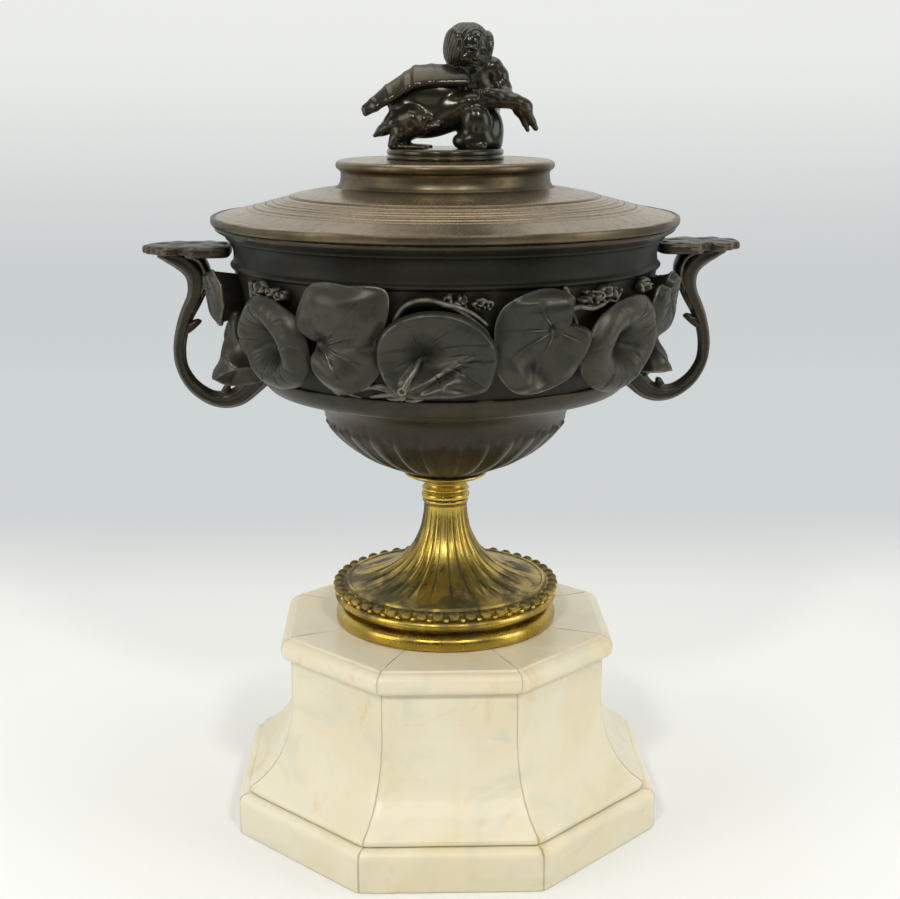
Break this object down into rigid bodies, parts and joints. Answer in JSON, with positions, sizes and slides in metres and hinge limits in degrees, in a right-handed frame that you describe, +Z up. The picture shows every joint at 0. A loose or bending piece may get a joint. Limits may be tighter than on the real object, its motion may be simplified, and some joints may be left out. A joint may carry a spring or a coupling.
{
  "type": "mantel urn",
  "caption": "Covered bronze urn with a floral frieze, scrolled handles, a figural lid and a fluted gilt foot, on an octagonal marble plinth.",
  "frame": {"origin": "middle of the plinth's underside", "axes": "+Z up, -Y the front, +X to the viewer's right when looking along +Y"},
  "size_m": [0.2578, 0.1998, 0.3485],
  "materials": {
    "marble": "polished cream marble with faint yellow and orange veins",
    "gilt": "bright gilt bronze, rubbed, with small dark wear spots",
    "gilt_patina": "gilt bronze with greenish-brown patina left in the flutes and the dish",
    "bronze": "dark brown-green bronze patina, satin, copper-coloured on worn edges",
    "lid_bronze": "warm brown satin bronze with fine turned lines",
    "dark_bronze": "near-black glossy bronze, golden brown where it is rubbed"
  },
  "bodies": {
    "root": {"plinth_slab": "marble", "plinth_body": "marble", "plinth_cap": "marble", "foot_ring": "gilt", "foot": "gilt_patina", "stem_collar": "gilt", "bowl": "bronze", "handle_left": "bronze", "handle_right": "bronze", "lid": "lid_bronze", "finial": "dark_bronze"}
  },
  "joints": []
}
